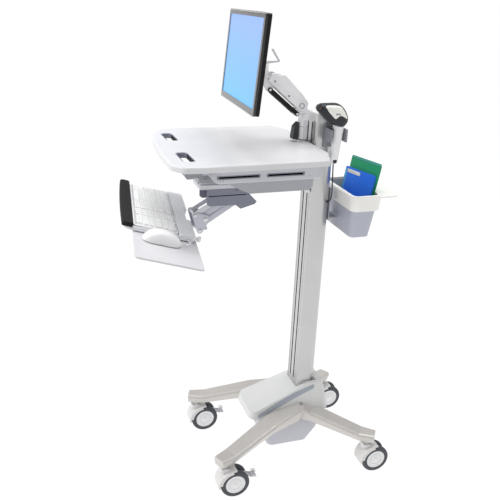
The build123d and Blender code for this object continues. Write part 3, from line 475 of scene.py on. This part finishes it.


# painted shade over the upper facet of each side of the base cover
cover_strip("base_cover_painted_shade", painted_base_shade,
            [(-158, 199), (-96, 222), (-21, 252), (52, 277), (56, 288), (50, 292), (-22, 272), (-96, 242),
             (-160, 212)])
# painted shade: dark panels low on each side of the hub, for the shaded step under the base cover's edge
steps = bmesh.new()
for s in (1, -1):
    for y in (-20, 44):
        flank(steps, s, 85.4, rectangle(46, 30, 5, centre=(y, 178), steps=4), -1.4, 1.4, 0.8)
finish_mesh("hub_side_painted_shade", steps, painted_base_shade, "base", 40)

# ---------------------------------------------------------------- column
keep("column", anodised, 0)
keep("column_cap", white_satin, 0)
keep("lift_cylinder", black_gloss, 0.5)
keep("lift_rod", chrome, 0)
keep("carriage", steel, 0.8)
keep("glide_pads", white_satin, 0.3)
keep("bin_bracket", beam_grey, 0.8)
# painted shade: thin dark strips at the walls of the column's front grooves
slot_shade = bmesh.new()
for x in (-14, 14):
    for s in (-1, 1):
        prism(slot_shade, level(0), rectangle(0.6, 3.4, 0.2, centre=(x + s * 3.2, -6), steps=2), 303, 1221, 0)
finish_mesh("column_slot_painted_shade", slot_shade, seam_black_and_painted_recess_shade, "base", 40)

# ---------------------------------------------------------------- head
keep("worksurface", white_gloss, 0)
keep("head_housing", housing_grey, 1.0)
keep("housing_beam", beam_grey, 1.6, 3)
keep("lift_lever", lever_grey, 2.0, 3)
grips, grip_ribs = bmesh.new(), bmesh.new()
for x, y in ((126, -440), (-126, -428)):
    low, high = worksurface_top - 17.6, worksurface_top - 3.2
    prism(grips, level(0), rectangle(109.6, 36.6, 13.8, (x, y), 8), low, high, 0.4,
          rectangle(105, 32, 11.5, (x, y), 8))
    for k in range(-5, 6):
        for s in (1, -1):
            rib = rectangle(3.6, 3, 0.8, centre=(x + 7.6 * k, y + 15 * s), steps=2)
            prism(grip_ribs, level(0), rib, low + 0.6, high - 0.8, 0.3)
finish_mesh("grip_liners", grips, slate, "head", 40)
finish_mesh("grip_ribs", grip_ribs, charcoal, "head", 40)
vent_shade_plates, frames = bmesh.new(), bmesh.new()
for s in (1, -1):
    for near, far in ((-369, -243), (-224, -108)):
        middle = ((near + far) / 2, 1117)
        # painted shade: dark plates just inside each vent slot, for the shade in the housing's hollow
        flank(vent_shade_plates, s, 201.4, rectangle(far - near, 10.5, 2, middle, 3), -1.2, 1.2, 0.2)
        flank(frames, s, 207.2, rectangle(far - near, 11, 2.4, middle, 4), -0.7, 0.7, 0.3,
              rectangle(far - near - 7, 6.2, 1.2, middle, 4))
finish_mesh("vent_painted_shade", vent_shade_plates, seam_black_and_painted_recess_shade, "head", 40)
finish_mesh("vent_frames", frames, slate, "head", 40)
seam = bmesh.new()
housing_middle = (0, -211)
prism(seam, level(0), rectangle(415.6, 323.6, 14.6, housing_middle, 8), 1138.6, 1141.4, 0.3,
      rectangle(411, 319, 12, housing_middle, 8))
finish_mesh("housing_seam", seam, lever_grey, "head", 40)
screws("housing_screws", "head",
       [(at(207.2 * s, y, 1107), RIGHT * s) for s in (1, -1) for y in (-352, -92)], 2.6)
keep("post_foot", steel, 0.6)

# ---------------------------------------------------------------- keyboard arm
keep("glide_block", pale_grey, 1.5, 3)
keep("keyboard_hood", slate, 2.2, 3)
keep("keyboard_arm", arm_grey, 0.6)
keep("keyboard_link", pale_grey, 0.6)
keep("tray_knuckle", arm_grey, 0.9)
keep("tilt_bracket", pale_grey, 1.0)
caps = bmesh.new()
for s in (1, -1):
    for y, z in ((-222, 1008), (-256, 1023)):
        lathe(caps, [(0, 46.6), (5.6, 46.4), (6.6, 45.6), (6.6, 44.8)], at(0, y, z), RIGHT * s, 32)
finish_mesh("hood_pin_caps", caps, slate, "keyboard_hood", 40)
knuckle_caps = bmesh.new()
for s in (1, -1):
    for (y, z), radius in (((-350, 934), 7.5), ((-384, 949), 5.5), ((-367.5, 898), 6)):
        lathe(knuckle_caps, [(0, 31.4), (radius - 1, 31.2), (radius, 30.4), (radius, 29.3)], at(0, y, z),
              RIGHT * s, 32)
finish_mesh("knuckle_pin_caps", knuckle_caps, steel, "tray_knuckle", 40)
hood_lines = bmesh.new()
for s in (1, -1):
    flank(hood_lines, s, 45.2, [(-346, 1013), (-219, 1013), (-217, 1010.6), (-346, 1010.6)], -0.5, 0.5, 0.2)
finish_mesh("hood_seams", hood_lines, seam_black_and_painted_recess_shade, "keyboard_hood", 40)

# ---------------------------------------------------------------- keyboard tray
keep("keyboard_tray", tray_grey_painted_light, 1.4, 3)
keep("keyboard_case", case_white, 0.9, 3)
keep("keyboard_keys", key_white, 0.7, 2)
keep("mouse_tray", mouse_tray_grey_painted_shade, 1.5, 3)


def palm_pad():
    """Soft-topped rest along the tray's near edge, its front edge bowed."""
    bm = bmesh.new()
    half_wide, half_deep, middle_y = 234, 15.5, -105.2
    corners = rectangle(2 * half_wide, 2 * half_deep, 7)
    outline = []
    for (x, y), (next_x, next_y) in zip(corners, corners[1:] + corners[:1]):
        cuts = 12 if abs(next_x - x) > 100 else 1
        outline += [(x + (next_x - x) * k / cuts, y + (next_y - y) * k / cuts) for k in range(cuts)]
    loops = []
    for inset, height in ((0.6, -8), (0, -6.5), (0, 1.5), (0.8, 3.6), (2.4, 5), (5, 5.9), (9, 6.2)):
        loop = []
        for x, y in outline:
            bow = 3.5 * (1 - (x / half_wide) ** 2) if y < 0 else 0
            spot = (x * (1 - inset / half_wide), middle_y + (y - bow) * (1 - inset / half_deep))
            loop.append(bm.verts.new(tray @ Vector((*spot, height))))
        loops.append(loop)
    skin(bm, loops)
    bm.faces.new(loops[-1])
    bm.faces.new(loops[0])
    piece = finish_mesh("palm_pad", bm, rest_rubber, "keyboard_tray", 50)
    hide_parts("palm_rest")


palm_pad()
lamps = bmesh.new()
for x in (140, 152, 164):
    prism(lamps, tray, rectangle(3.4, 1.6, 0.6, centre=(x, 37.4), steps=3), -2.4, -1.7, 0.1)
finish_mesh("keyboard_lamps", lamps, charcoal, "keyboard_tray", 40)
knob = bmesh.new()
knob_place = tray @ Vector((214, 97, -9))
lathe(knob, [(0, -0.6), (4, -0.6), (8.2, 0), (9, 1), (9, 6.6), (8.2, 8.4), (6.5, 9.4), (0, 9.8)],
      knob_place, tray_y, 40)
finish_mesh("tray_knob", knob, white_satin, "keyboard_tray", 40)
screws("tray_screws", "keyboard_tray",
       [(tray @ Vector((x, y, -17.2)), -tray_up) for x in (-180, 180) for y in (-70, 70)], 3.0)

mouse_centre = (278, -9)
mouse_half = 53.5


def mouse_height(u, v):
    """Height of the mouse's top over the tray frame; u across and v along run from -1 to 1."""
    crown = 34.0 - 9.0 * (v - 0.05) ** 2 - 5.0 * max(v, 0) ** 3
    fall = max(1 - abs(u) ** 3.0, 0) ** 0.42
    ends = max(1 - abs(v) ** 3.4, 0) ** 0.45
    return -19.2 + crown * fall * ends


def mouse_shell():
    """Smooth two-button shell over a base painted dark as the shadow gap under the shell, with a wheel."""
    bm = bmesh.new()
    columns, rows = 28, 40
    grid = []
    for j in range(rows + 1):
        v = -cos(pi * j / rows)
        row = []
        for i in range(columns + 1):
            u = -cos(pi * i / columns)
            waist = 29.5 - 2.6 * cos(v * pi * 0.9) ** 2 + 1.2 * v
            width = waist * max(1 - abs(v) ** 3.2, 0) ** (1 / 2.6)
            x = mouse_centre[0] + u * width
            y = mouse_centre[1] + v * mouse_half
            row.append(bm.verts.new(tray @ Vector((x, y, mouse_height(u, v) + 1.6))))
        grid.append(row)
    for j in range(rows):
        for i in range(columns):
            bm.faces.new((grid[j][i], grid[j][i + 1], grid[j + 1][i + 1], grid[j + 1][i]))
    piece = finish_mesh("mouse_top", bm, case_white, "mouse", 80)
    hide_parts("mouse")
    foot = bmesh.new()
    outline = []
    corners = 72
    for i in range(corners):
        angle = 2 * pi * i / corners
        v = sin(angle)
        waist = 28.3 - 2.6 * cos(v * pi * 0.9) ** 2
        outline.append((mouse_centre[0] + waist * squared(cos(angle), 0.75),
                        mouse_centre[1] + 51.5 * squared(v, 0.85)))
    # painted shade: the base is coloured dark for the shadow gap under the shell
    prism(foot, tray, outline, -19.3, -16.6, 0.4)
    finish_mesh("mouse_foot_painted_shade", foot, lever_grey, "mouse", 50)
    wheel = bmesh.new()
    centre = tray @ Vector((mouse_centre[0], mouse_centre[1] + 27, 3.4))
    lathe(wheel, [(0, -3), (7, -3), (8.2, -2), (8.6, 0), (8.2, 2), (7, 3), (0, 3)], centre, tray_x, 32)
    finish_mesh("mouse_wheel", wheel, slate, "mouse", 50)
    line = []
    for k in range(12):
        v = 0.12 + 0.8 * k / 11
        y = mouse_centre[1] + v * mouse_half
        line.append(tray @ Vector((mouse_centre[0], y, mouse_height(0, v) + 1.5)))
    wire("mouse_split", line, 0.35, lever_grey, "mouse")


mouse_shell()

# ---------------------------------------------------------------- screen arm
keep("screen_stem", white_arm, 0.9)
keep("cable_guide", charcoal, 1.4, 3)
keep("screen_arm", white_arm, 0.8)
keep("screen_link", black_plastic, 0.6)
keep("arm_knuckle", white_arm, 0.9)
keep("pan_head", white_arm, 0.7)
keep("tilt_head", white_arm, 0.6)
keep("tilt_lever", pale_grey, 0.7)
keep("vesa_plate", black_plastic, 0.6)
insets = bmesh.new()
inset_outline = smooth_loop([(-147, 1352), (-138, 1360), (-116, 1366), (-104, 1360), (-74, 1330), (-46, 1303),
                             (-44, 1292), (-58, 1288), (-72, 1296), (-104, 1322), (-140, 1340)], 4)
for s in (1, -1):
    flank(insets, s, 22.1, inset_outline, -0.8, 0.35, 0.3)
finish_mesh("arm_insets", insets, white_arm, "screen_arm", 40)
rings, hub_caps = bmesh.new(), bmesh.new()
for s in (1, -1):
    lathe(rings, [(6.2, 21.8), (6.4, 23.4), (7, 23.8), (8.4, 23.8), (9.2, 23.2), (9.4, 21.8)],
          at(0, -51, 1274), RIGHT * s, 48)
    lathe(hub_caps, [(0, 23.6), (5.2, 23.4), (6.1, 22.8), (6.1, 21.8)], at(0, -51, 1274), RIGHT * s, 40)
finish_mesh("arm_pivot_rings", rings, beam_grey, "screen_arm", 40)
finish_mesh("arm_pivot_caps", hub_caps, white_satin, "screen_arm", 40)
screws("arm_screws", "screen_arm", [(at(22.3 * s, y, z), RIGHT * s) for s in (1, -1)
                                    for y, z in ((-143, 1349), (-95, 1305))], 2.8, slate)
stem_rings, spine = bmesh.new(), bmesh.new()
for low, high, proud in ((1166.6, 1169.8, 1.0), (1207.5, 1209.5, 0.5)):
    lathe(stem_rings, [(16.4, low), (16.4 + proud, low + 0.5), (16.4 + proud, high - 0.5), (16.4, high)],
          at(0, -34, 0), UP, 48)
finish_mesh("stem_rings", stem_rings, lever_grey, "screen_stem", 40)
for s in (1, -1):
    flank(spine, s, 14, rectangle(9, 58, 2, centre=(-34, 1200), steps=4), 1, 2.9, 0.4)
finish_mesh("stem_panels", spine, pale_grey, "screen_stem", 40)

# ---------------------------------------------------------------- screen
keep("screen_back_shell", black_plastic, 1.2, 3)
keep("screen_bezel", black_gloss, 0.5)
keep("screen_panel", screen_sky, 0)
trims = bmesh.new()
for height in (133.2, -133.2):
    prism(trims, screen, rectangle(428, 3.6, 1.4, centre=(0, height), steps=4), -0.4, 0.5, 0.2)
finish_mesh("bezel_trims", trims, steel, "screen", 40)
# painted shade: dark bars on the back shell for the vent openings
vent_rows = bmesh.new()
shell = screen @ Matrix.Translation((0, 0, -18.1))
for k in range(26):
    for tall, height in ((16, 112), (10, -114)):
        prism(vent_rows, shell, rectangle(2.2, tall, 1, (-75 + 6 * k, height), 2), -0.4, 0.4, 0)
finish_mesh("screen_vents", vent_rows, seam_black_and_painted_recess_shade, "screen", 40)
plate_screws = [(screen_pivot + (screen_back * 46.3 + screen_x * x + screen_up * z) * MM, screen_back)
                for x in (-50, 50) for z in (-50, 50)]
screws("plate_screws", "screen", plate_screws, 4.2)
buttons = bmesh.new()
for k in range(5):
    prism(buttons, screen, rectangle(7, 2.2, 1, centre=(150 + 11 * k, -128), steps=3), 0, 0.5, 0.2)
finish_mesh("screen_buttons", buttons, lever_grey, "screen", 40)

# ---------------------------------------------------------------- bin and folders
keep("bin_body", bin_grey, 0.9)
keep("bin_rim", rim_white, 1.2, 3)


def folder(name, y, high, boards, cover, gap):
    """Two cover boards round a stack of paper, leaning on the bin's rear rim."""
    low, width = -129.5, 140
    yaw, lean = radians(14), radians(12)
    across = Vector((cos(yaw), sin(yaw), 0))
    facing = Vector((sin(yaw) * cos(lean), -cos(yaw) * cos(lean), sin(lean)))
    place = local_frame(at(33, y, 1000), across, facing.cross(across), facing)
    cards = bmesh.new()
    middle = (low + high) / 2
    for shorter, depth in ((0, 0), (5, gap)):
        card = rectangle(width, high - low - shorter, 4, centre=(0, middle - shorter / 2), steps=4)
        prism(cards, place, card, -boards - depth, -depth, 0.3)
    piece = finish_mesh(name + "_cover", cards, cover, name, 40)
    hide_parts(name)
    sheets = bmesh.new()
    for k in range(3):
        step = (gap - boards) / 3
        outline = rectangle(width - 8 - 2 * k, high - low - 12 - 3 * k, 1, centre=(1.5 * k, middle - 3))
        prism(sheets, place, outline, -boards - step * (k + 0.9), -boards - step * (k + 0.1), 0)
    finish_mesh(name + "_paper", sheets, paper, name, 40)
    return place


green_place = folder("green_folder", 167, 100, 0.8, green_card, 2.2)
blue_place = folder("blue_folder", 155, 63.5, 0.9, blue_card, 4.1)
for name, place, card, width, height, centre, finish, proud in (
        ("blue_folder", blue_place, "blue_folder_label", 62, 12, (-30, 50.5), paper, 0.4),
        ("blue_folder", blue_place, "blue_folder_tab", 10, 74, (-64, 19.5), sky_card, 0.4),
        ("green_folder", green_place, "green_folder_edge", 138, 7, (0, 95.5), green_edge, 0.35)):
    sticker = bmesh.new()
    prism(sticker, place, rectangle(width, height, 1.5, centre, 3), 0.05, proud, 0.1)
    finish_mesh(card, sticker, finish, name, 40)

# ---------------------------------------------------------------- scanner
scanner_low, scanner_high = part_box("scanner_body")
scanner_x = ((scanner_low.x + scanner_high.x) / 2 - centre_x) / MM
keep("scanner_holder", lever_grey, 1.2, 3)
keep("scanner_trigger", charcoal, 0.8, 3)


def scanner():
    """Dark body with a flat nose, pale side panels, and a pale handle with a dark tip."""
    head = smooth_loop([(-23, 1272), (-20, 1281), (-12, 1289), (14, 1290), (42, 1289), (60, 1277),
                        (73, 1258), (78, 1240), (73, 1226), (60, 1218), (42, 1221), (18, 1232),
                        (-3, 1250), (-17, 1264)], 5)
    bm = bmesh.new()
    dome(bm, side(scanner_x), head, 26.5, 3.0)
    piece = finish_mesh("scanner_head", bm, charcoal, "scanner", 60)
    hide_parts("scanner_body")
    panel = smooth_loop([(-9, 1286), (14, 1288), (42, 1286), (57, 1274), (70, 1254), (72, 1243),
                         (60, 1250), (45, 1252), (27, 1241), (10, 1254), (-6, 1272)], 5)
    mark = smooth_loop([(28, 1262), (34, 1266), (42, 1261), (43, 1257.5), (35, 1260), (29, 1258.5)], 4)
    panels, marks = bmesh.new(), bmesh.new()
    for s in (1, -1):
        dome(panels, side(scanner_x, s), panel, 28.6, 3.4, both=False)
        prism(marks, side(scanner_x, s), mark, 24, 28.3, 0.3)
    finish_mesh("scanner_panels", panels, cream, "scanner", 60)
    finish_mesh("scanner_side_marks", marks, slate, "scanner", 60)
    nose = bmesh.new()
    nose_lean = radians(62)
    facing = Vector((0, -sin(nose_lean), cos(nose_lean)))
    nose_place = local_frame(at(scanner_x, -18.5, 1279), RIGHT, facing.cross(RIGHT) * -1, facing)
    prism(nose, nose_place, rectangle(34, 13, 3, steps=4), -2.2, 1.4, 0.6)
    finish_mesh("scanner_window", nose, lens_red, "scanner", 60)
    handle = bmesh.new()
    rings = []
    for z, y, half_x, half_y in ((1105, 46, 9.5, 11), (1112, 46, 10.2, 12), (1135, 47.2, 10.8, 13),
                                 (1160, 49, 11.4, 14.2), (1190, 50.6, 12.2, 15.6), (1212, 51.8, 13, 17),
                                 (1228, 52.4, 14, 19)):
        ring = []
        for i in range(40):
            angle = 2 * pi * i / 40
            ring.append(handle.verts.new(at(scanner_x + half_x * squared(cos(angle), 0.8),
                                            y + half_y * squared(sin(angle), 0.8), z)))
        rings.append(ring)
    skin(handle, rings)
    handle.faces.new(rings[0])
    handle.faces.new(rings[-1])
    finish_mesh("scanner_handle", handle, case_white, "scanner", 60)
    tip = bmesh.new()
    lathe(tip, [(0, 1103.9), (5, 1103.9), (9.6, 1105.2), (11.2, 1109), (11.4, 1116), (10.8, 1117.2),
                (0, 1117.2)], at(scanner_x, 46, 0), UP, 40)
    finish_mesh("scanner_tip", tip, charcoal, "scanner", 50)


scanner()
screws("holder_screws", "base", [(at(47.2, y, z), RIGHT) for y in (36, 60) for z in (1158, 1217)], 2.2)


# ---------------------------------------------------------------- cords
def cord(name, node, points, diameter, body):
    """One smooth curve through the tube's own control points."""
    curve = bpy.data.curves.new(name, "CURVE")
    curve.dimensions = "3D"
    curve.bevel_depth = diameter * MM / 2
    curve.bevel_resolution = 4
    curve.resolution_u = 16
    curve.use_fill_caps = True
    spline = curve.splines.new("NURBS")
    spline.points.add(len(points) - 1)
    for spot, place in zip(spline.points, points):
        spot.co = (*place, 1)
    spline.order_u = 3
    spline.use_endpoint_u = True
    curve.materials.append(charcoal if body == "base" else case_white)
    piece = bpy.data.objects.new(name, curve)
    bpy.context.scene.collection.objects.link(piece)
    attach(piece, body)
    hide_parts(node)


scanner_route = [(73, 46, 1103.7), (73, 46.5, 1082), (73.5, 48, 1052), (73, 50, 1020), (68, 52, 992),
                 (58, 53, 975), (43.3, 53, 968)]
mouse_route = [(278, 45.6, -9), (278, 54, -11), (273, 66, -13.5), (259, 74, -15), (241.3, 75, -15.5)]
cord("scanner_lead", "scanner_cord", [at(*point) for point in scanner_route], 4.0,
     "base")
cord("mouse_lead", "mouse_cord", [tray @ Vector(point) for point in mouse_route], 3.0,
     "mouse_tray")
glands = bmesh.new()
lathe(glands, [(0, 0.2), (2.4, 0.3), (3.6, 0), (4.6, -1.5), (5.4, -3), (0, -3)],
      at(46, 53, 969.2), RIGHT, 32)
finish_mesh("scanner_gland", glands, charcoal, "base", 40)


# ---------------------------------------------------------------- floor, light and camera
def studio():
    """Plain pale floor under soft light from the front, the side and above."""
    bpy.ops.mesh.primitive_plane_add(size=300, location=(0, 0, 0))
    floor = bpy.context.object
    floor.name = "studio_floor"
    floor.data.materials.append(floor_white)
    world = bpy.data.worlds.new("studio")
    bpy.context.scene.world = world
    world.use_nodes = True
    world.node_tree.nodes["Background"].inputs["Color"].default_value = (1, 1, 1, 1)
    world.node_tree.nodes["Background"].inputs["Strength"].default_value = 0.42
    aim = at(0, -150, 750)
    for name, spot, size, power in (("front", (-0.9, -2.9, 2.5), 1.8, 62),
                                    ("near", (3.2, -0.4, 2.6), 2.2, 5),
                                    ("over", (-0.3, 0.3, 3.6), 2.0, 62)):
        lamp = bpy.data.lights.new(name, "AREA")
        lamp.size = size
        lamp.energy = power
        holder = bpy.data.objects.new(name, lamp)
        bpy.context.scene.collection.objects.link(holder)
        holder.location = spot
        holder.rotation_euler = (aim - holder.location).to_track_quat("-Z", "Y").to_euler()
    bpy.context.scene.view_settings.view_transform = "Standard"


def camera():
    """Eye level above the worksurface, looking down from the user's right."""
    turn, drop, roll = radians(71.654), radians(21.994), radians(2.001)
    forward = Vector((-sin(turn) * cos(drop), cos(turn) * cos(drop), -sin(drop)))
    across = Vector((cos(turn), sin(turn), 0))
    upward = across.cross(forward)
    right = across * cos(roll) + upward * sin(roll)
    top = upward * cos(roll) - across * sin(roll)
    lens = bpy.data.cameras.new("camera")
    lens.lens = 50.155
    lens.shift_x = 0.036
    holder = bpy.data.objects.new("camera", lens)
    bpy.context.scene.collection.objects.link(holder)
    eye = at(1980.5, -907.9, 1654.2)
    holder.matrix_world = Matrix.Translation(eye) @ Matrix((right, top, -forward)).transposed().to_4x4()
    bpy.context.scene.camera = holder


studio()
camera()
